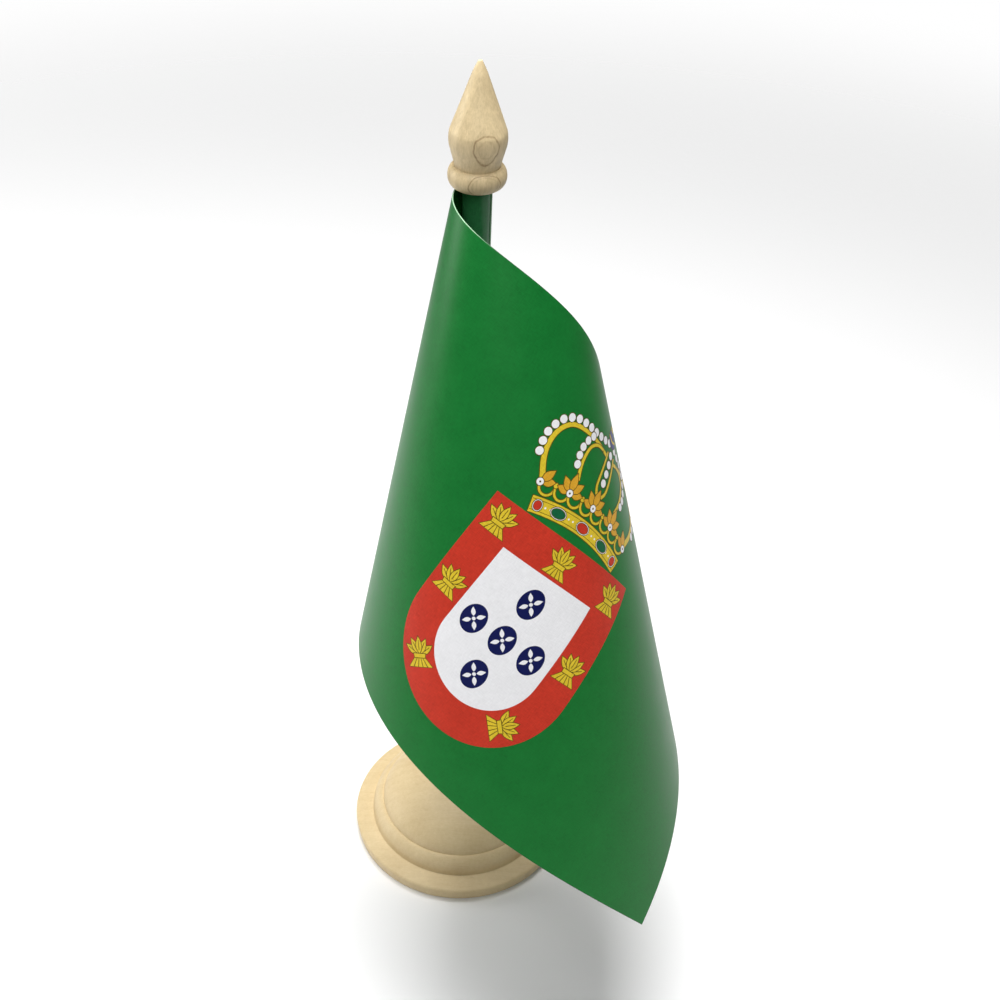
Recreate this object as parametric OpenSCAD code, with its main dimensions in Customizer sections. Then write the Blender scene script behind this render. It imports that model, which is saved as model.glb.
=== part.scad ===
// Desk flag stand: a turned wooden foot, a round wooden pole, a turned finial, and a printed flag
// whose hoist is rolled into a sleeve round the pole. The flag is a stiff sheet that can bend but
// not stretch, so its shape is a fan of straight lines that run down from a moving apex.
// The frame stands on the table: origin at the middle of the foot's underside, +Z up the pole,
// and the flag's printed face looks towards -Y.

/* [Foot] */
// Diameter of the foot at its rim
foot_d = 90; // [80:1:110]
// Thickness of the rim at its edge
rim_h = 5.8; // [4:0.1:9]
// Diameter at the bottom of the rounded step
step_d = 75; // [70:1:78]
// Diameter at the bottom of the dome
dome_d = 66; // [56:1:68]
// Height of the dome's top above the table
dome_top = 27; // [24:0.5:36]
// Depth of the blind socket that holds the pole
socket_depth = 19; // [12:0.5:20]

/* [Pole and finial] */
// Diameter of the pole
pole_d = 8; // [6:0.1:8.2]
// Length of the pole
pole_len = 300; // [298:0.5:301]
// Length of the pole's top end that is glued in the finial
finial_grip = 9; // [6:0.5:10]
// Widest diameter of the finial's spear
spear_d = 17.9; // [16:0.1:22]
// Widest diameter of the bead under the spear
bead_d = 18.2; // [17:0.1:22]
// Height of the finial above the pole's shoulder
finial_h = 39.1; // [34:0.1:48]

/* [Flag] */
// Length of the flag from the hoist to the free edge
flag_len = 225; // [180:1:235]
// Width of the flag along the hoist
flag_w = 150; // [120:1:155]
// Thickness of the printed sheet
sheet_t = 0.4; // [0.3:0.05:0.6]
// Height of the flag's top edge above the table
flag_top = 299; // [296:0.5:299]
// Length of the sheet that is glued over the sleeve before the flag leaves it
overlap = 8; // [4:0.5:12]
// Direction round the pole in which the flag leaves the sleeve, in degrees
leave_angle = 84.5; // [60:0.5:110]

/* [Curl] */
// Height of the fan's apex above the flag's top edge at the hoist
apex_h = 25; // [25:1:40]
// Speed at which the apex climbs as the fan opens, per radian
apex_climb = 135; // [100:1:150]
// Fan angle at which the apex stops climbing, in degrees
apex_stop = 45; // [40:1:50]
// How tightly the flag curls, as a share of the hanging shape
curl = 1; // [0.9:0.01:1.02]

/* [Hidden] */
$fn = 96;

running_gap = 0.05;     // radial play of a turning or sliding round fit
end_gap = 0.3;          // clear height under the pole and above the sleeve
pole_r = pole_d / 2;
foot_r = foot_d / 2;
socket_floor = dome_top - socket_depth;
pole_z = socket_floor + end_gap;
pole_top = pole_z + pole_len;
finial_z = pole_top - finial_grip;

sleeve_r0 = pole_r + 0.06;
sleeve_r1 = sleeve_r0 + 0.4;
sheet_r = sleeve_r1 + sheet_t / 2;

// Bend of the sheet across the fan's lines, per radian of fan angle, every 15 degrees
fan_bend = [[0, 6.9], [15, 4.1], [30, 4.5], [45, 4.3], [60, 5.7], [75, 7.0]];
fan_max = 85;           // the fan opens further than any corner of the flag needs
fan_step = 0.5;

sheet_cols = 58;
sheet_rows = 16;
wrap_cols = 10;
crowding = 1.35;        // above 1, the mesh columns gather towards the hoist

// ---- outlines ---------------------------------------------------------------------------

// A quarter or part of an ellipse, from angle a0 to a1, as [radius, height] points
function oval(centre, rx, rz, a0, a1, n = 12) =
    [for (i = [0:n]) let (a = a0 + (a1 - a0) * i / n) centre + [rx * cos(a), rz * sin(a)]];

module turned(outline) {
    rotate_extrude() polygon(outline);
}

// ---- foot -------------------------------------------------------------------------------

// Rim, rounded step and dome, turned from one piece
module foot() {
    edge = 0.7;
    step_r = step_d / 2;
    step_z = rim_h + 0.8;
    dome_r = dome_d / 2;
    dome_z = step_z + 7.4;
    outline = concat(
        [[0, 0], [foot_r - 1.1, 0], [foot_r - 0.5, 0.6]],
        oval([foot_r - edge, rim_h - edge], edge, edge, 0, 90, 6),
        [[step_r, step_z]],
        oval([dome_r, step_z + 0.6], step_r - dome_r, dome_z - step_z - 0.6, 0, 88),
        oval([0, dome_z - 0.5], dome_r, dome_top - dome_z + 0.5, 2, 82, 20),
        [[0, dome_top]]
    );
    color("burlywood") difference() {
        turned(outline);
        translate([0, 0, socket_floor]) cylinder(r = pole_r + running_gap, h = dome_top);
    }
}

// ---- pole and finial --------------------------------------------------------------------

// Round dowel with a small chamfer at each end
module pole() {
    chamfer = 0.6;
    color("wheat") translate([0, 0, pole_z]) turned([
        [0, 0], [pole_r - chamfer, 0], [pole_r, chamfer],
        [pole_r, pole_len - chamfer], [pole_r - chamfer, pole_len], [0, pole_len]
    ]);
}

// Spear on a neck over a rounded bead, with a blind socket for the pole
module finial() {
    spear_r = spear_d / 2;
    bead_r = bead_d / 2;
    bead_h = 6.9;
    neck_r = 0.78 * spear_r;
    belly_z = 15.4;
    outline = concat(
        [[0, 0]],
        oval([bead_r - 2.4, bead_h / 2], 2.4, bead_h / 2, -90, 72, 14),
        [[neck_r, bead_h - 0.2]],
        oval([spear_r - 0.9, belly_z], 0.9, 3.4, -50, 60, 10),
        [[0.26 * spear_r, finial_h - 3.9]],
        [[0.17 * spear_r, finial_h - 2.1], [0.07 * spear_r, finial_h - 0.3], [0, finial_h]]
    );
    color("burlywood") translate([0, 0, finial_z]) difference() {
        turned(outline);
        translate([0, 0, -1]) cylinder(r = pole_r, h = finial_grip + 1 + end_gap);
    }
}

// ---- the sheet's shape ------------------------------------------------------------------

// Each station of the fan holds the apex in the flat sheet, the apex in space, and the
// directions down the fan's line, across it and out of the sheet's face
function climb(a) = -apex_climb * max(0, 1 - a / apex_stop);

function turn(frame, a) =
    let (
        bend = -curl * lookup(a, fan_bend),
        size = sqrt(1 + bend * bend),
        half = fan_step * size,
        spin = [[0, 1, 0], [-1, 0, bend], [0, -bend, 0]] / size,
        unit = [[1, 0, 0], [0, 1, 0], [0, 0, 1]]
    ) (unit + sin(half) * spin + (1 - cos(half)) * spin * spin) * frame;

function next_station(s) =
    let (
        a = s[0] + fan_step / 2,
        frame = turn(s[3], a),
        run = climb(a) * fan_step * PI / 180
    ) [
        s[0] + fan_step,
        s[1] + run * [sin(a), cos(a)],
        s[2] + run * (s[3][0] + frame[0]) / 2,
        frame
    ];

hoist_point = [sheet_r * cos(leave_angle), sheet_r * sin(leave_angle), flag_top];
first_frame = [[0, 0, -1], [-sin(leave_angle), cos(leave_angle), 0], [cos(leave_angle), sin(leave_angle), 0]];
first_station = [0, [0, -apex_h], hoist_point + [0, 0, apex_h], first_frame];
fan = [for (s = first_station; s[0] <= fan_max; s = next_station(s)) s];

function unit(v) = v / norm(v);

// The fan between two stations, at angle a
function fan_at(a) =
    let (
        x = min(max(a, 0), fan_max - fan_step) / fan_step,
        i = floor(x),
        w = x - i,
        p = fan[i],
        q = fan[i + 1]
    ) [for (k = [1:3]) p[k] * (1 - w) + q[k] * w];

// Angle of the fan's line through the flat point u from the hoist, v below the top edge
function line_angle(u, v, a = 0, rounds = 7) =
    rounds == 0 ? a
    : let (apex = fan_at(a)[0]) line_angle(u, v, atan2(u - apex.x, v - apex.y), rounds - 1);

// Point of the sheet, moved out of its middle surface by "off"
function sheet_point(u, v, off) =
    u < 0
    ? let (a = leave_angle + u / sheet_r * 180 / PI, r = sheet_r + off) [r * cos(a), r * sin(a), flag_top - v]
    : let (
        s = fan_at(line_angle(u, v)),
        reach = norm([u, v] - s[0])
    ) s[1] + reach * unit(s[2][0]) + off * unit(s[2][2]);

function sheet_us() = concat(
    [for (i = [0:wrap_cols - 1]) -overlap * (1 - i / wrap_cols)],
    [for (i = [0:sheet_cols]) flag_len * pow(i / sheet_cols, crowding)]
);

// ---- flag -------------------------------------------------------------------------------

// The printed sheet: one thin closed solid with a front, a back and four cut edges
module flag_sheet() {
    us = sheet_us();
    n = len(us);
    m = sheet_rows + 1;
    front = [for (u = us) for (j = [0:sheet_rows]) sheet_point(u, flag_w * j / sheet_rows, sheet_t / 2)];
    back = [for (u = us) for (j = [0:sheet_rows]) sheet_point(u, flag_w * j / sheet_rows, -sheet_t / 2)];
    b = n * m;
    function at(i, j) = i * m + j;
    skins = [
        for (i = [0:n - 2]) for (j = [0:m - 2]) each [
            [at(i, j), at(i + 1, j), at(i + 1, j + 1)],
            [at(i, j), at(i + 1, j + 1), at(i, j + 1)],
            [b + at(i, j), b + at(i + 1, j + 1), b + at(i + 1, j)],
            [b + at(i, j), b + at(i, j + 1), b + at(i + 1, j + 1)]
        ]
    ];
    long_edges = [
        for (i = [0:n - 2]) each [
            [at(i, 0), b + at(i, 0), b + at(i + 1, 0), at(i + 1, 0)],
            [at(i, m - 1), at(i + 1, m - 1), b + at(i + 1, m - 1), b + at(i, m - 1)]
        ]
    ];
    short_edges = [
        for (j = [0:m - 2]) each [
            [at(0, j), at(0, j + 1), b + at(0, j + 1), b + at(0, j)],
            [at(n - 1, j), b + at(n - 1, j), b + at(n - 1, j + 1), at(n - 1, j + 1)]
        ]
    ];
    color("forestgreen") polyhedron(points = concat(front, back), faces = concat(skins, long_edges, short_edges));
}

// The hoist of the sheet rolled into a tube that turns on the pole
module flag_sleeve() {
    color("darkgreen") translate([0, 0, flag_top - flag_w]) difference() {
        cylinder(r = sleeve_r1, h = flag_w);
        translate([0, 0, -1]) cylinder(r = sleeve_r0, h = flag_w + 2);
    }
}

foot();
pole();
finial();
flag_sheet();
flag_sleeve();
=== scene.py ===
"""Desk flag stand: turned wooden foot, pole and finial, and a printed flag that curls round its pole.

The parts' places come from the CAD frame. Lengths are metres in Blender and in the settings, and
millimetres inside the functions that work out a shape, where MM turns one into the other.
"""

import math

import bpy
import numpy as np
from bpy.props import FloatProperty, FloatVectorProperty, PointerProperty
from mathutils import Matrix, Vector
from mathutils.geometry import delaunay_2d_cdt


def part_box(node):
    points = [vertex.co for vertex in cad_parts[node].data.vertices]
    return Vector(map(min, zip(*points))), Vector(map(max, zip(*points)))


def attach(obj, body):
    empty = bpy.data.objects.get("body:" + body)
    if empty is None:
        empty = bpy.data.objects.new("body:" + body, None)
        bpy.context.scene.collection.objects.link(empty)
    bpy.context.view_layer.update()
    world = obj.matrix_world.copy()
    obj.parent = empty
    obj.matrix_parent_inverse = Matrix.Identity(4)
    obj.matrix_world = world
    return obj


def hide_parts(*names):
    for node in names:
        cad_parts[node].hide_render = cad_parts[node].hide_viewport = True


bl_info = {
    "name": "Desk Flag Stand",
    "version": (1, 0, 0),
    "blender": (4, 5, 0),
    "location": "3D View > Sidebar > Flag Stand",
    "description": "Builds a turned wooden stand, its curled flag and the emblem printed on it",
    "category": "Add Mesh",
}

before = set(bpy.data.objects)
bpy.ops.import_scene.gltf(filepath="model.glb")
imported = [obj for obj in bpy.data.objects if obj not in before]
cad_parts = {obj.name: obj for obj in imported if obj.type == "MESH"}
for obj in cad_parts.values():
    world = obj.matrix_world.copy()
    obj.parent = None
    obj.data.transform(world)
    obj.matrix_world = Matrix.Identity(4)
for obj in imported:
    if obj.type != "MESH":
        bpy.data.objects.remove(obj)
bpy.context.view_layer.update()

MM = 0.001
POLE_LOW, POLE_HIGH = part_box("pole")
SLEEVE_LOW, SLEEVE_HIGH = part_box("flag_sleeve")
FOOT_LOW, FOOT_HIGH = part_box("foot")
FINIAL_LOW, FINIAL_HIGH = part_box("finial")

SHARP_EDGE = math.radians(50)


# ---- settings ----


def screen(red, green, blue):
    """A colour given in screen values from 0 to 255, as the linear values that Blender keeps."""
    shares = [c / 255 for c in (red, green, blue)]
    return tuple(((c + 0.055) / 1.055) ** 2.4 if c > 0.04 else c / 12.92 for c in shares)


def length(name, description, default):
    """A setting for a length, with its default in metres."""
    return FloatProperty(
        name=name, description=description, default=default, min=0.0,
        subtype="DISTANCE", unit="LENGTH", precision=5,
    )


def angle(name, description, degrees):
    """A setting for an angle, with its default in degrees."""
    return FloatProperty(
        name=name, description=description, default=math.radians(degrees),
        subtype="ANGLE", unit="ROTATION",
    )


def colour(name, description, default):
    """A setting for a colour, with its default in linear values."""
    return FloatVectorProperty(
        name=name, description=description, default=default, size=3, min=0.0, max=1.0,
        subtype="COLOR",
    )


def amount(name, description, default):
    """A setting for a plain number from 0 up."""
    return FloatProperty(name=name, description=description, default=default, min=0.0)


class TurnedSizes(bpy.types.PropertyGroup):
    """Sizes of the wooden parts that the frame's boxes don't give"""

    rim_h: length("Rim Height", "Thickness of the foot's rim at its edge", 5.8 * MM)
    step_d: length("Step Diameter", "Diameter at the bottom of the foot's rounded step", 75 * MM)
    dome_d: length("Dome Diameter", "Diameter at the bottom of the foot's dome", 66 * MM)
    socket_d: length("Socket Diameter", "Bore of the foot's blind socket", 8.1 * MM)
    socket_depth: length("Socket Depth", "Depth of the foot's blind socket", 19 * MM)
    spear_d: length("Spear Diameter", "Widest diameter of the finial's spear", 17.9 * MM)
    bead_h: length("Bead Height", "Height of the bead under the spear", 6.9 * MM)
    grip: length("Finial Grip", "Length of the pole that is glued in the finial", 9.3 * MM)


class FlagSizes(bpy.types.PropertyGroup):
    """Sizes of the flag's cut sheet and of the way it curls"""

    fly: length("Length", "Length of the flag from the hoist to the free edge", 225 * MM)
    thickness: length("Thickness", "Thickness of the printed sheet", 0.4 * MM)
    overlap: length("Overlap", "Length of the sheet glued round the sleeve", 8 * MM)
    leave: angle("Leaving Direction", "Direction round the pole in which the flag leaves it", 84.5)
    apex_h: length("Apex Height", "Height of the fan's first apex above the top edge", 25 * MM)
    apex_climb: length("Apex Climb", "Travel of the apex for each radian of the fan", 135 * MM)
    apex_stop: angle("Apex Stop", "Fan angle at which the apex stops moving", 45)
    emblem_out: length("Emblem Distance", "From the hoist to the emblem's centre line", 116.2 * MM)
    emblem_down: length("Emblem Drop", "From the top edge to the shield's top edge", 57.2 * MM)
    ink_lift: length("Ink Lift", "Height of the emblem's ink above the sheet", 0.05 * MM)


class StandColours(bpy.types.PropertyGroup):
    """Colours of the wood and of the print"""

    wood_light: colour("Light Wood", "Early wood", screen(224, 203, 160))
    wood_dark: colour("Dark Wood", "Late wood and fibres", screen(196, 170, 122))
    growth: colour("Growth Line", "Brown line that shows where the finial cuts one ring",
                   screen(140, 106, 66))
    green: colour("Green", "The flag's ground", screen(17, 112, 44))
    sleeve: colour("Sleeve Green", "The darker green of the sleeve", screen(50, 124, 74))
    core: colour("Cut Edge", "The sheet's unprinted core", screen(160, 202, 164))
    red: colour("Red", "The shield's border and the red jewels", screen(196, 54, 36))
    white: colour("White", "The inner shield, the pearls and the jewel rims", screen(238, 238, 240))
    gold: colour("Gold", "The sheaves and the crown", screen(218, 190, 48))
    leaf: colour("Leaf Gold", "The crown's leaves", screen(214, 160, 44))
    line: colour("Line", "The drawn lines round the gold and the pearls", screen(88, 70, 16))
    navy: colour("Navy", "The five ovals", screen(9, 18, 78))
    jewel: colour("Jewel Green", "The green jewels", screen(16, 96, 60))
    orb: colour("Orb Blue", "The orb on the crown", screen(34, 50, 116))


class StageSettings(bpy.types.PropertyGroup):
    """Camera and lights"""

    lens: FloatProperty(name="Lens", description="Focal length on a 36 mm sensor", default=49.56,
                        min=1.0, unit="CAMERA")
    height: length("Camera Height", "Height of the camera above the table", 0.48613)
    distance: length("Camera Distance", "Distance of the camera from the pole, level", 0.38743)
    yaw: angle("Camera Yaw", "Turn of the camera to the right", 1.683)
    pitch: angle("Camera Pitch", "Tilt of the camera below the horizon", 38.588)
    roll: angle("Camera Roll", "Roll of the camera", 2.618)
    top: amount("Top Light", "Power of the light overhead, in watts", 16.2)
    front: amount("Front Light", "Power of the light above the front, in watts", 3.1)
    side: amount("Side Light", "Power of the light from the left, in watts", 3.5)
    room: amount("Room Light", "Strength of the light from the white surroundings", 0.08)


class StandSettings(bpy.types.PropertyGroup):
    """All settings of the desk flag stand"""

    turned: PointerProperty(type=TurnedSizes)
    flag: PointerProperty(type=FlagSizes)
    colours: PointerProperty(type=StandColours)
    stage: PointerProperty(type=StageSettings)


# ---- outlines and meshes ----


def unit(vectors):
    """The vectors, each made 1 long."""
    return vectors / np.linalg.norm(vectors, axis=-1, keepdims=True)


def oval(centre, rx, rz, start, end, steps):
    """Part of an ellipse between two angles in degrees, as (x, z) points."""
    turns = np.radians(np.linspace(start, end, steps + 1))
    return [(centre[0] + rx * math.cos(t), centre[1] + rz * math.sin(t)) for t in turns]


def softened(outline, steps=6):
    """The outline with each (x, z, radius) corner rounded and each (x, z) corner left as it is."""
    done = [outline[0][:2]]
    for before, corner, after in zip(outline, outline[1:], outline[2:]):
        if len(corner) == 2:
            done.append(corner)
            continue
        tip = np.array(corner[:2])
        back = np.array(before[:2]) - tip
        ahead = np.array(after[:2]) - tip
        back, back_len = back / np.linalg.norm(back), np.linalg.norm(back)
        ahead, ahead_len = ahead / np.linalg.norm(ahead), np.linalg.norm(ahead)
        half = math.acos(np.clip(back @ ahead, -1, 1)) / 2
        reach = min(corner[2] / math.tan(half), 0.49 * back_len, 0.49 * ahead_len)
        for t in np.linspace(0, 1, steps + 1):
            point = tip + reach * ((1 - t) ** 2 * back + t ** 2 * ahead)
            done.append(tuple(point))
    done.append(outline[-1][:2])
    return done


def divided(outline, step):
    """The outline with more points on its straight stretches, none further apart than step."""
    done = [outline[0]]
    for a, b in zip(outline, outline[1:]):
        parts = max(1, math.ceil(math.dist(a, b) / step))
        done += [tuple(np.array(a) + (np.array(b) - a) * i / parts) for i in range(1, parts + 1)]
    return done


def lathe(outline, turns, uneven=0.0, closed=False):
    """Vertices and faces of a solid turned about Z from an outline of (radius, height) in mm.

    An open outline starts and ends on the axis. A closed one makes a ring. The radius wavers by
    up to uneven mm, as hand turned wood does.
    """
    around = np.arange(turns) * 2 * math.pi / turns
    vertices, rings, faces = [], [], []
    for r, z in outline:
        if r == 0:
            rings.append([len(vertices)] * turns)
            vertices.append((0, 0, z * MM))
            continue
        waver = 0.6 * np.sin(2 * around + 0.11 * z) + 0.4 * np.sin(3 * around - 0.23 * z + 1)
        radius = r + uneven * waver * min(1, r / 10)
        rings.append(list(range(len(vertices), len(vertices) + turns)))
        vertices += [(a * MM, b * MM, z * MM)
                     for a, b in zip(radius * np.cos(around), radius * np.sin(around))]
    if closed:
        rings.append(rings[0])
    for low, high in zip(rings, rings[1:]):
        for j in range(turns):
            k = (j + 1) % turns
            face = (low[j], low[k], high[k], high[j])
            faces.append(tuple(dict.fromkeys(face)))
    return vertices, faces


def new_piece(name, vertices, faces, materials, body):
    """A smooth mesh object with these materials, riding on a body."""
    mesh = bpy.data.meshes.new(name)
    mesh.from_pydata([tuple(v) for v in vertices], [], [tuple(f) for f in faces])
    mesh.shade_smooth()
    for material in materials:
        mesh.materials.append(material)
    piece = bpy.data.objects.new(name, mesh)
    bpy.context.scene.collection.objects.link(piece)
    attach(piece, body)
    return piece


def lay_out(mesh, places):
    """Gives the mesh a UV map that holds each vertex's place on the flat cut, in metres."""
    layer = mesh.uv_layers.new(name="Cut")
    corners = np.empty(len(mesh.loops), dtype=np.int32)
    mesh.loops.foreach_get("vertex_index", corners)
    layer.data.foreach_set("uv", (np.asarray(places)[corners] * MM).ravel())


# ---- the curled sheet ----


class CurledSheet:
    """The flag's middle surface, a fan of straight lines that run down from a moving apex.

    A sheet that bends and doesn't stretch keeps these lines straight, so every place on the flat
    cut, u from the hoist and v from the top edge, has one place in space. Lengths are in mm.
    """

    step = 0.5      # degrees between two lines of the fan
    widest = 85     # degrees, further than any corner of the flag needs
    rounds = 7      # of closing in on the line through a place
    # How much the sheet bends across the fan's lines, per radian, at these angles
    bend_at = (0, 15, 30, 45, 60, 75)
    bend = (6.9, 4.1, 4.5, 4.3, 5.7, 7.0)

    def __init__(self, flag):
        self.half = flag.thickness / MM / 2
        self.top = SLEEVE_HIGH[2] / MM
        self.radius = SLEEVE_HIGH[0] / MM + self.half
        self.leave = flag.leave
        x, y = math.cos(flag.leave), math.sin(flag.leave)
        apex_h = flag.apex_h / MM
        apex_flat = np.array([0, -apex_h])
        apex = np.array([self.radius * x, self.radius * y, self.top + apex_h])
        rows = np.array([[0, 0, -1], [-y, x, 0], [x, y, 0]], dtype=float)
        self.apex_flat, self.apex, self.rows = [apex_flat], [apex], [rows]
        climb, stop = flag.apex_climb / MM, math.degrees(flag.apex_stop)
        for start in np.arange(0, self.widest, self.step):
            middle = start + self.step / 2
            turned = self.turn(rows, np.interp(middle, self.bend_at, self.bend))
            run = -climb * max(0, 1 - middle / stop) * math.radians(self.step)
            a = math.radians(middle)
            apex_flat = apex_flat + run * np.array([math.sin(a), math.cos(a)])
            apex = apex + run * (rows[0] + turned[0]) / 2
            rows = turned
            self.apex_flat.append(apex_flat)
            self.apex.append(apex)
            self.rows.append(rows)
        self.apex_flat, self.apex, self.rows = map(np.array, (self.apex_flat, self.apex, self.rows))

    def turn(self, rows, bend):
        """The directions down, across and out of the sheet, one step of the fan further on."""
        size = math.hypot(1, bend)
        half = math.radians(self.step) * size
        spin = np.array([[0, 1, 0], [-1, 0, -bend], [0, bend, 0]]) / size
        return (np.eye(3) + math.sin(half) * spin + (1 - math.cos(half)) * spin @ spin) @ rows

    def between(self, table, degrees):
        """The fan's table of apexes or directions, read at these angles."""
        x = np.clip(degrees, 0, self.widest - self.step) / self.step
        low = x.astype(int)
        share = (x - low).reshape((-1,) + (1,) * (table.ndim - 1))
        return table[low] * (1 - share) + table[low + 1] * share

    def place(self, u, v, off=0.0):
        """Points in mm and the outward directions there, for arrays of places on the flat cut."""
        u, v, off = np.broadcast_arrays(np.asarray(u, float), v, off)
        line = np.zeros(len(u))
        for _ in range(self.rounds):
            apex = self.between(self.apex_flat, line)
            line = np.degrees(np.arctan2(u - apex[:, 0], v - apex[:, 1]))
        apex = self.between(self.apex_flat, line)
        rows = unit(self.between(self.rows, line))
        reach = np.hypot(u - apex[:, 0], v - apex[:, 1])[:, None]
        out = rows[:, 2]
        points = self.between(self.apex, line) + reach * rows[:, 0] + off[:, None] * out
        round_pole = self.leave + u / self.radius
        x, y = np.cos(round_pole), np.sin(round_pole)
        r = self.radius + off
        rolled = np.stack([r * x, r * y, self.top - v], axis=1)
        rolled_out = np.stack([x, y, np.zeros(len(u))], axis=1)
        on_sleeve = (u < 0)[:, None]
        return np.where(on_sleeve, rolled, points), np.where(on_sleeve, rolled_out, out)


def sheet_grid(sheet, flag):
    """Front and back skins of the flag joined by a rounded rim.

    Returns vertices in metres, faces, the number of skin faces, vertex normals and flat places.
    """
    half, fly, overlap = sheet.half, flag.fly / MM, flag.overlap / MM
    width = (SLEEVE_HIGH[2] - SLEEVE_LOW[2]) / MM
    near = 20   # the sheet curls most tightly as far as this from the hoist
    wrapped_cols, near_cols, free_cols, all_rows = 14, 24, 166, 97
    us = np.concatenate([
        np.linspace(-overlap + half, 0, wrapped_cols)[:-1],
        np.linspace(0, near, near_cols)[:-1],
        np.linspace(near, fly - half, free_cols),
    ])
    vs = np.linspace(half, width - half, all_rows)
    n, m = len(us), len(vs)
    u, v = (grid.ravel() for grid in np.meshgrid(us, vs, indexing="ij"))
    at = np.arange(n * m).reshape(n, m)
    a, b, c, d = at[:-1, :-1], at[1:, :-1], at[1:, 1:], at[:-1, 1:]
    front = np.stack([a, d, c, b], axis=-1).reshape(-1, 4)
    back = np.stack([a, b, c, d], axis=-1).reshape(-1, 4) + n * m

    edge = np.concatenate([at[:, 0], at[-1, 1:], at[-2::-1, -1], at[0, -2:0:-1]])
    outward = np.stack([
        (u[edge] == us[-1]) * 1.0 - (u[edge] == us[0]),
        (v[edge] == vs[-1]) * 1.0 - (v[edge] == vs[0]),
    ], axis=1)

    points, normals, places = [], [], []
    for off in (half, -half):
        at_off, out = sheet.place(u, v, off)
        points.append(at_off)
        normals.append(out * np.sign(off))
        places.append(np.stack([u, v], axis=1))
    rings = [edge]
    for lean in np.radians([50, 0, -50]):
        reach, off = half * math.cos(lean), half * math.sin(lean)
        flat = places[0][edge] + reach * outward
        here, out = sheet.place(flat[:, 0], flat[:, 1], off)
        inner, _ = sheet.place(u[edge], v[edge], off)
        side = unit(here - inner)
        rings.append(sum(map(len, points)) + np.arange(len(edge)))
        points.append(here)
        normals.append(math.cos(lean) * side + math.sin(lean) * out)
        places.append(flat)
    rings.append(edge + n * m)
    rim = [np.stack([p, np.roll(p, -1), np.roll(q, -1), q], axis=1) for p, q in zip(rings, rings[1:])]
    skins = np.concatenate([front, back])
    faces = np.concatenate([skins] + rim)
    return (np.concatenate(points) * MM, faces, len(skins),
            np.concatenate(normals), np.concatenate(places))


# ---- the drawn emblem ----


def disc(x, y, rx, ry=None, tilt=0.0, steps=20):
    """An ellipse, tilted by degrees to the left."""
    ry = rx if ry is None else ry
    t = np.arange(steps) * 2 * math.pi / steps
    return turned(np.stack([rx * np.cos(t), ry * np.sin(t)], axis=1), tilt) + (x, y)


def turned(shape, tilt):
    """The shape turned to the left about its origin, by degrees."""
    c, s = math.cos(math.radians(tilt)), math.sin(math.radians(tilt))
    return np.asarray(shape) @ np.array([[c, s], [-s, c]])


def leaf(long, wide, start=0.0, steps=7):
    """A pointed leaf that grows up from (0, start)."""
    t = np.linspace(0, 1, steps)
    side = wide / 2 * np.sin(math.pi * t ** 0.85)
    up = start + long * t
    return np.concatenate([np.stack([side, up], axis=1), np.stack([-side, up], axis=1)[-2:0:-1]])


def sector(x, y, inner, outer, half_angle, steps=24):
    """Part of a ring that is centred above (x, y)."""
    t = np.radians(np.linspace(-half_angle, half_angle, steps))
    arc = np.stack([np.sin(t), np.cos(t)], axis=1)
    return np.concatenate([arc * inner, (arc * outer)[::-1]]) + (x, y)


def smooth(points, steps=6):
    """A smooth line through the points."""
    p = np.asarray(points, float)
    p = np.concatenate([[2 * p[0] - p[1]], p, [2 * p[-1] - p[-2]]])
    line = []
    for a, b, c, d in zip(p, p[1:], p[2:], p[3:]):
        for t in np.arange(steps) / steps:
            line.append(b + 0.5 * t * (c - a + t * (2 * a - 5 * b + 4 * c - d + t * (3 * (b - c) + d - a))))
    return np.array(line + [p[-2]])


def ribbon(line, start_w, end_w):
    """A band along the line, which changes evenly from one width to the other."""
    way = unit(np.gradient(line, axis=0))
    side = np.stack([-way[:, 1], way[:, 0]], axis=1) * np.linspace(start_w, end_w, len(line))[:, None] / 2
    return np.concatenate([line + side, (line - side)[::-1]])


def beads(line, gap):
    """Places along the line, a gap apart."""
    run = np.concatenate([[0], np.cumsum(np.linalg.norm(np.diff(line, axis=0), axis=1))])
    stops = np.linspace(0, run[-1], round(run[-1] / gap) + 1)
    return np.stack([np.interp(stops, run, line[:, i]) for i in (0, 1)], axis=1)


def turning(shape):
    """Twice the area inside the outline: positive if the outline runs to the left."""
    after = np.roll(shape, -1, axis=0)
    return np.sum(shape[:, 0] * after[:, 1] - after[:, 0] * shape[:, 1])


def grown(shape, by):
    """The shape's outline moved out by a small amount."""
    way = unit(np.roll(shape, -1, axis=0) - shape) + unit(shape - np.roll(shape, 1, axis=0))
    size = np.maximum(np.linalg.norm(way, axis=1, keepdims=True), 1.0)
    out = np.stack([way[:, 1], -way[:, 0]], axis=1) / size
    return shape + by * math.copysign(1, turning(shape)) * out * 2 / size


class Drawing:
    """Flat shapes in painter's order, in mm: x away from the hoist and y up."""

    line_w = 0.24
    piece_l = 1.4

    def __init__(self):
        self.layers = []

    def fill(self, ink, shape):
        """Adds a shape with its outline running to the left and cut into pieces that can bend."""
        shape = np.array(divided([*map(tuple, shape), tuple(shape[0])], self.piece_l)[:-1])
        self.layers.append((ink, shape if turning(shape) > 0 else shape[::-1]))

    def outlined(self, ink, shape):
        """Adds a shape with a thin drawn line round it."""
        self.fill("line", grown(np.asarray(shape, float), self.line_w))
        self.fill(ink, shape)


def draw_shield(drawing):
    """A red shield with a smaller white one in it, both with straight sides and a round foot."""
    for ink, half, top, centre in (("red", 30.9, 0.0, -44.8), ("white", 18.5, -13.1, -44.3)):
        foot = oval((0, centre), half, half, 180, 360, 48)
        drawing.fill(ink, [(half, top), (-half, top)] + foot)


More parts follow.
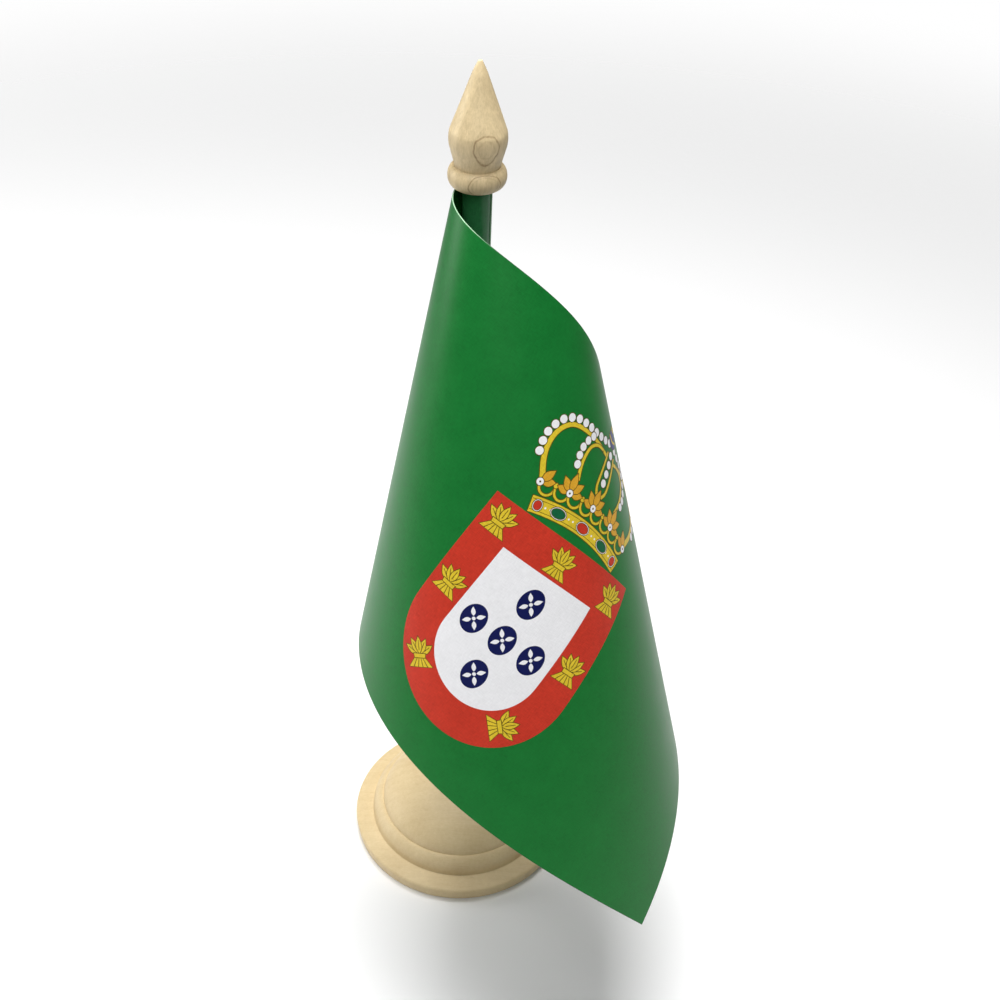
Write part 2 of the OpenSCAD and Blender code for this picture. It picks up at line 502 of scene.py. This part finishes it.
def draw_sheaf(drawing, x, y, tilt):
    """A tied sheaf of wheat."""
    def put(ink, shape, fill=drawing.outlined):
        fill(ink, turned(shape, tilt) + (x, y))

    put("gold", [(-1.5, -1.2), (-4.5, -5.0), (4.5, -5.0), (1.5, -1.2)])
    for foot in (-2.7, -0.9, 0.9, 2.7):
        stalk = np.array([(foot * 0.3, -1.4), (foot * 0.65, -3.2), (foot, -5.0)])
        put("line", ribbon(stalk, 0.18, 0.3), drawing.fill)
    for lean in (58, -58, 29, -29, 0):
        ear = turned(leaf(5.6, 2.3, 0.5), lean)
        put("gold", ear + (0, -1.0))
        rib = turned(ribbon(np.array([(0, 1.6), (0, 3.2), (0, 4.9)]), 0.28, 0.2), lean)
        put("line", rib + (0, -1.0), drawing.fill)
    put("gold", [(-2.1, -1.9), (2.1, -1.9), (2.3, -0.6), (-2.3, -0.6)])


def draw_oval(drawing, x, y):
    """A navy oval with a white flower of four petals."""
    drawing.fill("navy", disc(x, y, 4.2, 5.3, steps=40))
    for lean in (40, 140, 220, 320):
        drawing.fill("white", turned(leaf(3.1, 1.5, 0.85), lean) + (x, y))
    drawing.fill("white", disc(x, y, 0.62, steps=14))


def draw_pearls(drawing, line, gap, radius):
    """A row of pearls, each with a thin dark line round it."""
    for x, y in beads(line, gap):
        drawing.outlined("white", disc(x, y, radius, steps=18))


def draw_leaves(drawing, x, y, tilt, leans):
    """Gold leaves round a pearl."""
    for lean in leans:
        long = 6.1 - 0.018 * abs(lean)
        drawing.outlined("leaf", turned(leaf(long, 2.7, 0.6), lean + tilt) + (x, y))
    drawing.outlined("white", disc(x, y, 1.2, steps=18))
    drawing.fill("line", disc(x, y, 0.35, steps=10))


def draw_crown(drawing):
    """A closed crown of five arches on a jewelled band, with an orb on top."""
    centre_y = -64.0
    inner, outer, middle, wire_r = 67.4, 72.7, 70.05, 77.3

    def on_ring(degrees, radius):
        t = math.radians(degrees)
        return radius * math.sin(t), centre_y + radius * math.cos(t)

    outer_arch = smooth([(22.3, 11.5), (25.6, 16.5), (27.2, 21.5), (26.6, 26.5), (23.6, 30.2),
                         (18.5, 31.7), (10.0, 31.9), (3.0, 30.9)])
    outer_pearls = smooth([(28.2, 17.6), (29.5, 22.0), (29.2, 26.0), (27.2, 30.0), (23.2, 32.8),
                           (18.0, 33.8), (12.0, 34.1), (6.5, 34.8), (2.6, 35.6)])
    inner_arch = smooth([(11.0, 17.4), (12.5, 21.5), (12.9, 25.5), (12.0, 29.0), (9.2, 31.1), (5.5, 31.4)])
    inner_pearls = smooth([(14.2, 21.4), (15.3, 25.0), (15.0, 28.8), (12.9, 32.2)])
    middle_arch = smooth([(1.3, 17.8), (2.7, 20.5), (2.8, 26.0), (2.4, 32.6)])
    for arch, widths, pearls, gap, pearl_r in ((outer_arch, (1.9, 1.1), outer_pearls, 3.15, 1.36),
                                               (inner_arch, (1.3, 0.9), inner_pearls, 3.2, 1.34)):
        for flip in ((-1, 1), (1, 1)):
            drawing.outlined("gold", ribbon(arch * flip, *widths))
            draw_pearls(drawing, pearls * flip, gap, pearl_r)
    for side in (-1, 1):
        drawing.outlined("gold", ribbon(middle_arch * (side, 1), 1.1, 0.8))
    draw_pearls(drawing, np.array([(0, 22.4), (0, 32.4)]), 3.2, 1.34)

    spread = 4.15
    for k in range(-4, 4):
        dip = [on_ring((k + 0.5 - 0.5 * math.cos(t)) * spread, wire_r - 3.6 * math.sin(t) ** 0.8)
               for t in np.linspace(0, math.pi, 9)]
        drawing.outlined("gold", ribbon(smooth(dip, 2), 0.75, 0.75))
    for k in (-3, -1, 1, 3):
        drawing.outlined("gold", disc(*on_ring(k * spread, wire_r + 0.4), 0.85, steps=14))
    full = (84, -84, 44, -44, 0)
    for k, leans in ((-4, (-80, -40)), (4, (80, 40)), (-2, full), (2, full), (0, full)):
        draw_leaves(drawing, *on_ring(k * spread, wire_r), -k * spread, leans)

    drawing.outlined("gold", sector(0, centre_y, inner, outer, 17))
    for radius in (inner + 0.9, outer - 0.9):
        drawing.fill("line", sector(0, centre_y, radius - 0.09, radius + 0.09, 16.8))
    for degrees in np.arange(-15.75, 16, 1.5):
        drawing.fill("white", disc(*on_ring(degrees, middle), 0.34, steps=10))
    for ink, degrees, rx in (("red", -15, 1.2), ("jewel", -8.7, 2.5), ("red", 0, 2.3),
                             ("jewel", 8.7, 2.5), ("red", 15, 1.2)):
        jewel = disc(*on_ring(degrees, middle), rx, 1.45, -degrees, steps=24)
        drawing.outlined("white", grown(jewel, 0.42))
        drawing.outlined(ink, jewel)

    drawing.outlined("orb", disc(0, 38.4, 3.1, steps=30))
    drawing.outlined("gold", ribbon(smooth([(-3.0, 38.6), (0, 37.6), (3.0, 38.6)]), 0.7, 0.7))
    drawing.outlined("gold", disc(0, 42.2, 1.15, steps=16))


def draw_emblem():
    """The whole emblem. Its origin is the middle of the shield's top edge."""
    drawing = Drawing()
    draw_crown(drawing)
    draw_shield(drawing)
    for x, y, tilt in ((-24.5, -6.8, 0), (0, -6.8, 0), (24.5, -6.8, 0), (-24.6, -33.0, 0),
                       (24.6, -33.0, 0), (-18.2, -60.4, 45), (18.2, -60.4, -45)):
        draw_sheaf(drawing, x, y, tilt)
    for x, y in ((0, -22.9), (-11.4, -37.6), (0, -37.6), (11.4, -37.6), (0, -52.3)):
        draw_oval(drawing, x, y)
    return drawing


def painted(drawing, spacing):
    """Triangles of the drawing, cut along every outline, with the ink on top in each.

    More points lie a spacing apart, so that the triangles can follow the curled sheet.
    """
    corners, loops = [], []
    for _, shape in drawing.layers:
        loops.append(list(range(len(corners), len(corners) + len(shape))))
        corners += [Vector(p) for p in shape.tolist()]
    low = np.min([shape.min(axis=0) for _, shape in drawing.layers], axis=0)
    high = np.max([shape.max(axis=0) for _, shape in drawing.layers], axis=0)
    shift_x, shift_y = 0.37, 0.41   # off the straight outlines
    lattice = [Vector((x + shift_x, y + shift_y)) for x in np.arange(low[0], high[0], spacing)
               for y in np.arange(low[1], high[1], spacing)]
    every = delaunay_2d_cdt(corners + lattice, [], loops, 0, 1e-4, True)
    points = np.array([tuple(p) for p in every[0]])
    triangles = {}
    for face, owners in zip(every[2], every[5]):
        if owners:
            triangles.setdefault(drawing.layers[max(owners)][0], []).append(face)
    return points, triangles


def ink_slab(sheet, points, triangles, flag):
    """A thin closed slab of one ink on each side of the sheet: vertices, faces, normals, places."""
    used, again = np.unique(np.array(triangles), return_inverse=True)
    tops = again.reshape(-1, 3)
    u = flag.emblem_out / MM + points[used, 0]
    v = flag.emblem_down / MM - points[used, 1]
    edges = np.concatenate([tops[:, [0, 1]], tops[:, [1, 2]], tops[:, [2, 0]]])
    known = set(map(tuple, edges.tolist()))
    rim = np.array([e for e in edges.tolist() if (e[1], e[0]) not in known])
    lift, count = flag.ink_lift / MM, len(used)
    vertices, faces, normals = [], [], []
    for face in (1, -1):
        start = sum(map(len, vertices))
        high, out = sheet.place(u, v, face * (sheet.half + lift))
        low, _ = sheet.place(u, v, face * (sheet.half - lift))
        vertices += [high, low]
        normals += [out * face, -out * face]
        skins = [tops, tops[:, ::-1] + count]
        walls = np.stack([rim[:, 0], rim[:, 0] + count, rim[:, 1] + count, rim[:, 1]], axis=1)
        for part in (*skins, walls):
            part = part if face == 1 else part[:, ::-1]
            faces += (part + start).tolist()
    return (np.concatenate(vertices) * MM, faces, np.concatenate(normals),
            np.tile(np.stack([u, v], axis=1), (4, 1)))


# ---- materials ----


class Wires:
    """Adds nodes to one tree. A value is a number, a vector, a colour or another node's output."""

    def __init__(self, tree):
        self.tree = tree

    def node(self, kind, *values, **settings):
        """A new node with these settings, and its first inputs fed with these values."""
        made = self.tree.nodes.new("ShaderNode" + kind)
        for key, setting in settings.items():
            setattr(made, key, setting)
        for socket, value in zip(made.inputs, values):
            self.feed(socket, value)
        return made

    def feed(self, socket, value):
        """Links the socket to another node's output, or sets it."""
        if isinstance(value, bpy.types.NodeSocket):
            self.tree.links.new(value, socket)
        else:
            socket.default_value = value

    def math(self, operation, *values, clamp=False):
        """The result of an operation on numbers."""
        return self.node("Math", *values, operation=operation, use_clamp=clamp).outputs[0]

    def vector(self, operation, *values):
        """The result of an operation on vectors, which is a number for a length or a dot product."""
        made = self.node("VectorMath", *values, operation=operation)
        return made.outputs["Value" if operation in ("LENGTH", "DOT_PRODUCT") else "Vector"]

    def scaled(self, vector, factor):
        """The vector or the colour times a factor."""
        made = self.node("VectorMath", vector, operation="SCALE")
        self.feed(made.inputs["Scale"], factor)
        return made.outputs["Vector"]

    def noise(self, place, scale, detail=2.0, roughness=0.5):
        """Noise from 0 to 1. The scale is the number of features in a mm, along x, y and z."""
        made = self.node("TexNoise", self.vector("MULTIPLY", place, scale))
        for name, value in (("Scale", 1.0), ("Detail", detail), ("Roughness", roughness)):
            self.feed(made.inputs[name], value)
        return made.outputs[0]

    def rise(self, value, start, end):
        """From 0 at start to 1 at end, smoothly."""
        return self.node("MapRange", value, start, end, interpolation_type="SMOOTHSTEP").outputs[0]

    def mix(self, share, first, second):
        """A colour between two, for a share from 0 to 1."""
        made = self.node("Mix", share, data_type="RGBA")
        for socket, colour in zip(made.inputs[6:8], (first, second)):
            self.feed(socket, colour)
        return made.outputs[2]


def effect(name, inputs, outputs):
    """An empty node group with these sockets, and its wires, inputs and output node."""
    group = bpy.data.node_groups.new(name, "ShaderNodeTree")
    for label, kind, default in inputs:
        socket = group.interface.new_socket(label, in_out="INPUT", socket_type="NodeSocket" + kind)
        socket.default_value = default
    for label, kind in outputs:
        group.interface.new_socket(label, in_out="OUTPUT", socket_type="NodeSocket" + kind)
    wires = Wires(group)
    start = group.nodes.new("NodeGroupInput")
    end = group.nodes.new("NodeGroupOutput")
    return wires, start.outputs, end.inputs


def turned_wood_effect():
    """Pale close-grained wood off the lathe: rings, fibres, blotches, flecks and tool marks."""
    name = "Turned Wood"
    if name in bpy.data.node_groups:
        return bpy.data.node_groups[name]
    wires, given, result = effect(
        name,
        [("Place", "Vector", (0, 0, 0)), ("Grain", "Vector", (0, 0, 0)),
         ("Pith", "Vector", (0, 0, 0)), ("Ring Width", "Float", 3.0),
         ("Light", "Color", (1, 1, 1, 1)), ("Dark", "Color", (0, 0, 0, 1)),
         ("Tool Marks", "Float", 0.5)],
        [("Color", "Color"), ("Roughness", "Float"), ("Height", "Float")],
    )
    place = wires.scaled(given["Place"], 1 / MM)
    rotate = wires.node("VectorRotate", place, rotation_type="EULER_XYZ")
    wires.feed(rotate.inputs["Rotation"], given["Grain"])
    grain = rotate.outputs[0]

    across = wires.vector("MULTIPLY", wires.vector("SUBTRACT", grain, given["Pith"]), (1, 1, 0))
    sway = wires.math("MULTIPLY", wires.noise(grain, (0.06, 0.06, 0.012), 3.0), 7.0)
    depth = wires.math("ADD", wires.vector("LENGTH", across), sway)
    phase = wires.math("FRACT", wires.math("DIVIDE", depth, given["Ring Width"]))
    late = wires.math("MULTIPLY", wires.rise(phase, 0.35, 0.92),
                      wires.math("SUBTRACT", 1.0, wires.rise(phase, 0.94, 1.0)))
    fibre = wires.noise(grain, (2.4, 2.4, 0.09), 3.0, 0.6)
    fine = wires.noise(grain, (7.0, 7.0, 0.5), 2.0)
    mottle = wires.noise(place, (0.09, 0.09, 0.06), 3.0)
    fleck = wires.rise(wires.noise(grain, (2.8, 2.8, 0.35), 1.0), 0.66, 0.76)

    share = wires.math("MULTIPLY_ADD", late, 0.07, wires.math("MULTIPLY", fibre, 0.5))
    share = wires.math("ADD", share, wires.math("MULTIPLY", mottle, 0.75))
    share = wires.math("MULTIPLY_ADD", fine, 0.22, share)
    blotch = wires.noise(place, (0.75, 0.75, 0.4), 3.0, 0.6)
    share = wires.math("MULTIPLY_ADD", blotch, 0.5, share)
    share = wires.math("SUBTRACT", share, 0.67, clamp=True)
    tint = wires.mix(share, given["Light"], given["Dark"])
    shade = wires.math("MULTIPLY_ADD", fleck, -0.09, 1.0)
    wires.feed(result["Color"], wires.scaled(tint, shade))

    wires.feed(result["Roughness"], wires.math("MULTIPLY_ADD", fibre, 0.2, 0.42))
    split = wires.node("SeparateXYZ", place)
    from_axis = wires.vector("LENGTH", wires.vector("MULTIPLY", place, (1, 1, 0)))
    joined = wires.node("CombineXYZ", from_axis, split.outputs["Z"])
    marks = wires.noise(joined.outputs[0], (2.6, 2.6, 0), 2.0, 0.6)
    height = wires.math("MULTIPLY_ADD", marks, given["Tool Marks"], wires.math("MULTIPLY", fibre, 0.5))
    height = wires.math("MULTIPLY_ADD", fine, 0.25, height)
    wires.feed(result["Height"], wires.math("MULTIPLY_ADD", fleck, -0.3, height))
    return wires.tree


def printed_satin_effect():
    """Ink on a closely woven satin: threads both ways, a soft unevenness and a slight gloss change."""
    name = "Printed Satin"
    if name in bpy.data.node_groups:
        return bpy.data.node_groups[name]
    wires, given, result = effect(
        name,
        [("Cut", "Vector", (0, 0, 0)), ("Ink", "Color", (1, 1, 1, 1)),
         ("Unevenness", "Float", 1.0), ("Roughness", "Float", 0.38)],
        [("Color", "Color"), ("Roughness", "Float"), ("Height", "Float")],
    )
    cut = wires.scaled(given["Cut"], 1 / MM)
    warp = wires.noise(cut, (3.6, 0.45, 1), 2.0)
    weft = wires.noise(cut, (0.45, 3.6, 1), 2.0)
    threads = wires.math("SUBTRACT", wires.math("ADD", warp, weft), 1.0)
    cloud = wires.math("SUBTRACT", wires.noise(cut, (0.11, 0.11, 1), 4.0, 0.6), 0.5)
    change = wires.math("MULTIPLY_ADD", threads, 0.5, wires.math("MULTIPLY", cloud, 0.3))
    change = wires.math("MULTIPLY_ADD", change, given["Unevenness"], 1.0)
    wires.feed(result["Color"], wires.scaled(given["Ink"], change))
    gloss = wires.math("MULTIPLY_ADD", cloud, 0.12, given["Roughness"])
    wires.feed(result["Roughness"], wires.math("MULTIPLY_ADD", threads, 0.06, gloss))
    wires.feed(result["Height"], threads)
    return wires.tree


def surface(name, group, values, bump):
    """A material whose colour, roughness and relief come from one effect group.

    Returns the material, its wires, its shader and the group's node.
    """
    material = bpy.data.materials.new(name)
    material.use_nodes = True
    wires = Wires(material.node_tree)
    shader = material.node_tree.nodes["Principled BSDF"]
    made = wires.node("Group", node_tree=group)
    if "Place" in made.inputs:
        wires.feed(made.inputs["Place"], wires.node("TexCoord").outputs["Object"])
    else:
        wires.feed(made.inputs["Cut"], wires.node("UVMap", uv_map="Cut").outputs["UV"])
    for label, value in values.items():
        wires.feed(made.inputs[label], value)
    wires.feed(shader.inputs["Base Color"], made.outputs["Color"])
    wires.feed(shader.inputs["Roughness"], made.outputs["Roughness"])
    relief = wires.node("Bump", 1.0, bump)
    wires.feed(relief.inputs["Height"], made.outputs["Height"])
    wires.feed(shader.inputs["Normal"], relief.outputs["Normal"])
    return material, wires, shader, made


def wood(name, grain, pith, ring_w, marks, contrast=1.0):
    """Turned wood with its own grain direction, ring centre and contrast, as surface() gives it."""
    colours = bpy.context.scene.flag_stand.colours
    values = {
        "Grain": grain, "Pith": pith, "Ring Width": ring_w, "Tool Marks": marks,
        "Light": (*(Vector(colours.wood_light) * contrast ** 0.3), 1),
        "Dark": (*(Vector(colours.wood_dark) / contrast), 1),
    }
    return surface(name, turned_wood_effect(), values, 0.03 * MM)


def finial_wood():
    """The finial's wood, where the turning cuts one brown growth ring twice."""
    colours = bpy.context.scene.flag_stand.colours
    material, wires, shader, made = wood("Finial Wood", (0, 0, 0), (9.0, -30.0, 0.0), 4.6, 0.7, 1.7)
    place = wires.scaled(wires.node("TexCoord").outputs["Object"], 1 / MM)
    facing = math.radians(16.6)
    to_face = (math.sin(facing), -math.cos(facing), -0.04)
    middle = (0, 0, FINIAL_LOW[2] / MM + 14.7)
    depth = wires.vector("DOT_PRODUCT", wires.vector("SUBTRACT", place, middle), to_face)
    sway = wires.math("MULTIPLY_ADD", wires.noise(place, (0.5, 0.5, 0.35), 2.0), 0.5, -0.25)
    depth = wires.math("ADD", depth, sway)
    fade = wires.math("MULTIPLY_ADD", wires.noise(place, (0.8, 0.8, 0.8), 2.0), 1.3, 0.05, clamp=True)
    lines = []
    for ring, width, strength in ((8.05, 0.2, 0.9), (8.62, 0.14, 0.22)):
        away = wires.math("ABSOLUTE", wires.math("SUBTRACT", depth, ring))
        mark = wires.math("SUBTRACT", 1.0, wires.rise(away, 0.0, width))
        lines.append(wires.math("MULTIPLY", mark, strength))
    share = wires.math("MULTIPLY", wires.math("MAXIMUM", *lines), fade)
    wires.feed(shader.inputs["Base Color"], wires.mix(share, made.outputs["Color"], (*colours.growth, 1)))
    return material


def satin(name, ink, roughness=0.38, unevenness=1.0, bump=0.012 * MM):
    """Printed satin in one ink."""
    values = {"Ink": (*ink, 1), "Roughness": roughness, "Unevenness": unevenness}
    material, _, shader, _ = surface(name, printed_satin_effect(), values, bump)
    shader.inputs["Specular IOR Level"].default_value = 0.3
    return material


def cut_edge():
    """The sheet's cut edge: pale near the hoist, and further out covered by ink darkened with painted shade.
    """
    colours = bpy.context.scene.flag_stand.colours
    values = {"Ink": (*colours.core, 1), "Roughness": 0.5, "Unevenness": 0.6}
    material, wires, shader, made = surface("Cut Edge", printed_satin_effect(), values, 0.012 * MM)
    place = wires.scaled(wires.node("UVMap", uv_map="Cut").outputs["UV"], 1 / MM)
    split = wires.node("SeparateXYZ", place)
    pale_end, ink_and_shade_start = 26.0, 42.0
    # Painted shade: from here the edge blends to a green at 0.55 of the print's green, darker than the ink on
    # the faces.
    ink_and_shade = wires.rise(split.outputs["X"], pale_end, ink_and_shade_start)
    worn = wires.rise(wires.noise(place, (0.7, 0.7, 1), 2.0), 0.6, 0.72)
    ink_and_shade = wires.math("MULTIPLY_ADD", worn, -0.35, ink_and_shade, clamp=True)
    dark = (*(0.55 * Vector(colours.green)), 1)
    wires.feed(shader.inputs["Base Color"], wires.mix(ink_and_shade, made.outputs["Color"], dark))
    return material


# ---- operators ----


class STAND_OT_foot(bpy.types.Operator):
    """Build the turned foot with its rim, rounded step, dome and blind socket"""

    bl_idname = "flag_stand.foot"
    bl_label = "Foot"

    def execute(self, context):
        sizes = context.scene.flag_stand.turned
        foot_r, top = FOOT_HIGH[0] / MM, FOOT_HIGH[2] / MM
        rim_h, floor = sizes.rim_h / MM, top - sizes.socket_depth / MM
        step_r, dome_r, socket_r = (d / MM / 2 for d in (sizes.step_d, sizes.dome_d, sizes.socket_d))
        step_z = rim_h + 0.8
        dome_z = step_z + 7.4
        edge = 1.1
        outline = softened(
            [(0, 0), (foot_r - edge, 0, 0.3), (foot_r - 0.5, 0.6, 0.5)]
            + oval((foot_r - edge, rim_h - edge), edge, edge, 0, 90, 8)
            + [(step_r + 0.1, step_z, 0.5)]
            + oval((dome_r, step_z + 0.6), step_r - dome_r, dome_z - step_z - 0.6, 0, 84, 18)
            + [(dome_r + 0.05, dome_z - 0.15, 0.45)]
            + oval((0, dome_z - 0.5), dome_r, top - dome_z + 0.5, 4, 82, 40)
            + [(socket_r + 0.1, top, 0.35), (socket_r, top - 0.4, 0.2), (socket_r, floor), (0, floor)]
        )
        foot_wood, *_ = wood("Foot Wood", (0, math.radians(86), math.radians(14)), (6.0, 52.0, 0.0), 4.2, 0.6)
        vertices, faces = lathe(divided(outline, 1.2), 224, uneven=0.06)
        foot = new_piece("turned_foot", vertices, faces, [foot_wood], "foot")
        foot.data.set_sharp_from_angle(angle=SHARP_EDGE)
        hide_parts("foot")
        return {"FINISHED"}


class STAND_OT_pole(bpy.types.Operator):
    """Build the round pole with its chamfered ends"""

    bl_idname = "flag_stand.pole"
    bl_label = "Pole"

    def execute(self, context):
        r, low, high = POLE_HIGH[0] / MM, POLE_LOW[2] / MM, POLE_HIGH[2] / MM
        chamfer = 0.6
        outline = softened([
            (0, low), (r - chamfer, low, 0.3), (r, low + chamfer, 0.3),
            (r, high - chamfer, 0.3), (r - chamfer, high, 0.3), (0, high),
        ])
        pole_wood, *_ = wood("Pole Wood", (0.01, 0.006, 0), (3.0, 16.0, 0.0), 2.1, 0.15)
        vertices, faces = lathe(divided(outline, 3.0), 96)
        pole = new_piece("turned_pole", vertices, faces, [pole_wood], "pole")
        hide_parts("pole")
        return {"FINISHED"}


class STAND_OT_finial(bpy.types.Operator):
    """Build the finial, a spear on a neck over a rounded bead"""

    bl_idname = "flag_stand.finial"
    bl_label = "Finial"

    def execute(self, context):
        sizes = context.scene.flag_stand.turned
        base, tip = FINIAL_LOW[2] / MM, FINIAL_HIGH[2] / MM
        bead_r, spear_r = FINIAL_HIGH[0] / MM, sizes.spear_d / MM / 2
        bead_h, grip, bore = sizes.bead_h / MM, sizes.grip / MM, POLE_HIGH[0] / MM
        bead_edge, belly_edge, belly_h = 2.4, 0.9, 3.4
        neck_r, belly_z = 0.78 * spear_r, base + 15.4
        outline = softened(
            [(0, base + grip), (bore, base + grip), (bore, base)]
            + oval((bead_r - bead_edge, base + bead_h / 2), bead_edge, bead_h / 2, -90, 66, 22)
            + [(neck_r, base + bead_h - 0.2, 0.5)]
            + oval((spear_r - belly_edge, belly_z), belly_edge, belly_h, -50, 60, 16)
            + [(0.26 * spear_r, tip - 3.9, 1.5), (0.17 * spear_r, tip - 2.1, 0.8)]
            + [(0.07 * spear_r, tip - 0.3, 0.2), (0, tip)]
        )
        vertices, faces = lathe(divided(outline, 0.8), 144, uneven=0.07)
        finial = new_piece("turned_finial", vertices, faces, [finial_wood()], "pole")
        finial.data.set_sharp_from_angle(angle=SHARP_EDGE)
        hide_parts("finial")
        return {"FINISHED"}


class STAND_OT_sleeve(bpy.types.Operator):
    """Build the cloth sleeve that turns on the pole"""

    bl_idname = "flag_stand.sleeve"
    bl_label = "Sleeve"

    def execute(self, context):
        colours = context.scene.flag_stand.colours
        low, high = SLEEVE_LOW[2] / MM, SLEEVE_HIGH[2] / MM
        play, inset = 0.06, 0.02
        inner, outer = POLE_HIGH[0] / MM + play, SLEEVE_HIGH[0] / MM - inset
        middle, half = (inner + outer) / 2, (outer - inner) / 2
        outline = divided(
            oval((middle, low + half), half, half, 180, 360, 8)
            + oval((middle, high - half), half, half, 0, 180, 8), 2.5,
        )
        vertices, faces = lathe(outline, 96, closed=True)
        cloth = satin("Sleeve Satin", colours.sleeve, roughness=0.3)
        sleeve = new_piece("sleeve", vertices, faces, [cloth], "flag")
        places = [(math.atan2(y, x) * outer, z / MM) for x, y, z in vertices]
        lay_out(sleeve.data, places)
        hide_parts("flag_sleeve")
        return {"FINISHED"}


class STAND_OT_flag(bpy.types.Operator):
    """Build the curled flag and the emblem printed on both of its sides"""

    bl_idname = "flag_stand.flag"
    bl_label = "Flag"

    def execute(self, context):
        settings = context.scene.flag_stand
        flag, colours = settings.flag, settings.colours
        sheet = CurledSheet(flag)
        vertices, faces, skins, normals, places = sheet_grid(sheet, flag)
        materials = [satin("Green Print", colours.green), cut_edge()]
        banner = new_piece("flag_print", vertices, faces, materials, "flag")
        on_rim = (np.arange(len(faces)) >= skins).astype(np.int32)
        banner.data.polygons.foreach_set("material_index", on_rim)
        banner.data.normals_split_custom_set_from_vertices(normals.tolist())
        lay_out(banner.data, places)
        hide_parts("flag_sheet")

        points, triangles = painted(draw_emblem(), spacing=1.5)
        for ink, its_triangles in sorted(triangles.items()):
            vertices, faces, normals, places = ink_slab(sheet, points, its_triangles, flag)
            uneven = 0.4 if ink == "white" else 1.0
            material = satin(f"Ink {ink.title()}", getattr(colours, ink), unevenness=uneven)
            piece = new_piece(f"ink_{ink}", vertices, faces, [material], "flag")
            piece.data.normals_split_custom_set_from_vertices(normals.tolist())
            lay_out(piece.data, places)
        return {"FINISHED"}


class STAND_OT_stage(bpy.types.Operator):
    """Set up the floor, the soft lights and the camera"""

    bl_idname = "flag_stand.stage"
    bl_label = "Stage"

    def execute(self, context):
        scene, stage = context.scene, context.scene.flag_stand.stage
        scene.view_settings.view_transform = "Standard"
        self.add_floor()
        self.add_light("Top Light", stage.top, 0.6, (0, 0.05, 1.2))
        self.add_light("Front Light", stage.front, 0.6, (-0.1, -0.6, 1.0))
        self.add_light("Side Light", stage.side, 0.45, (-0.92, 0.26, 0.4))
        self.add_room(stage.room)
        lens = bpy.data.cameras.new("Camera")
        lens.lens, lens.sensor_width = stage.lens, 36.0
        lens.clip_start = 0.02
        camera = bpy.data.objects.new("Camera", lens)
        camera.location = (0, -stage.distance, stage.height)
        aim = (Matrix.Rotation(-stage.yaw, 3, "Z") @ Matrix.Rotation(math.pi / 2 - stage.pitch, 3, "X")
               @ Matrix.Rotation(stage.roll, 3, "Z"))
        camera.rotation_euler = aim.to_euler()
        scene.collection.objects.link(camera)
        scene.camera = camera
        return {"FINISHED"}

    def add_floor(self):
        """A plain pale floor that fades out into the white room, a hair under the foot."""
        radius, fade_start, fade_end, drop = 1.3, 0.4, 1.15, 0.02 * MM
        turns = np.radians(np.arange(0, 360, 5))
        corners = [(radius * math.cos(t), radius * math.sin(t), -drop) for t in turns]
        mesh = bpy.data.meshes.new("floor")
        mesh.from_pydata(corners, [], [tuple(range(len(corners)))])
        floor = bpy.data.objects.new("floor", mesh)
        bpy.context.scene.collection.objects.link(floor)
        material = bpy.data.materials.new("Pale Floor")
        material.use_nodes = True
        wires = Wires(material.node_tree)
        shader = material.node_tree.nodes["Principled BSDF"]
        shader.inputs["Base Color"].default_value = (0.93, 0.93, 0.93, 1)
        shader.inputs["Roughness"].default_value = 0.85
        shader.inputs["Specular IOR Level"].default_value = 0.1
        away = wires.vector("LENGTH", wires.node("TexCoord").outputs["Object"])
        fade = wires.math("SUBTRACT", 1.0, wires.rise(away, fade_start, fade_end))
        wires.feed(shader.inputs["Alpha"], fade)
        mesh.materials.append(material)

    def add_room(self, strength):
        """White surroundings that look brighter than the light they give."""
        world = bpy.data.worlds.new("White Room")
        world.use_nodes = True
        wires = Wires(world.node_tree)
        background = world.node_tree.nodes["Background"]
        background.inputs["Color"].default_value = (1, 1, 1, 1)
        seen = wires.node("LightPath").outputs["Is Camera Ray"]
        wires.feed(background.inputs["Strength"], wires.math("MAXIMUM", seen, strength))
        bpy.context.scene.world = world

    def add_light(self, name, power, size, place):
        """A soft square light that looks at the middle of the stand."""
        lamp = bpy.data.lights.new(name, "AREA")
        lamp.energy, lamp.size = power, size
        light = bpy.data.objects.new(name, lamp)
        light.location = place
        light.rotation_euler = (Vector((0, 0, 0.12)) - Vector(place)).to_track_quat("-Z", "Y").to_euler()
        bpy.context.scene.collection.objects.link(light)


class STAND_PT_panel(bpy.types.Panel):
    """The settings and the steps of the desk flag stand"""

    bl_idname = "STAND_PT_panel"
    bl_label = "Desk Flag Stand"
    bl_space_type = "VIEW_3D"
    bl_region_type = "UI"
    bl_category = "Flag Stand"

    def draw(self, context):
        settings = context.scene.flag_stand
        for title, group in (("Turned Wood", settings.turned), ("Flag", settings.flag),
                             ("Colours", settings.colours), ("Stage", settings.stage)):
            box = self.layout.box()
            box.label(text=title)
            for key in group.__annotations__:
                box.prop(group, key)
        for operator in STEPS:
            self.layout.operator(operator.bl_idname)


STEPS = (STAND_OT_foot, STAND_OT_pole, STAND_OT_finial, STAND_OT_sleeve, STAND_OT_flag, STAND_OT_stage)
CLASSES = (TurnedSizes, FlagSizes, StandColours, StageSettings, StandSettings, *STEPS, STAND_PT_panel)


def register():
    for cls in CLASSES:
        bpy.utils.register_class(cls)
    bpy.types.Scene.flag_stand = PointerProperty(type=StandSettings)


def unregister():
    del bpy.types.Scene.flag_stand
    for cls in reversed(CLASSES):
        bpy.utils.unregister_class(cls)


def main():
    register()
    bpy.ops.flag_stand.foot()
    bpy.ops.flag_stand.pole()
    bpy.ops.flag_stand.finial()
    bpy.ops.flag_stand.sleeve()
    bpy.ops.flag_stand.flag()
    bpy.ops.flag_stand.stage()


if __name__ == "__main__":
    main()
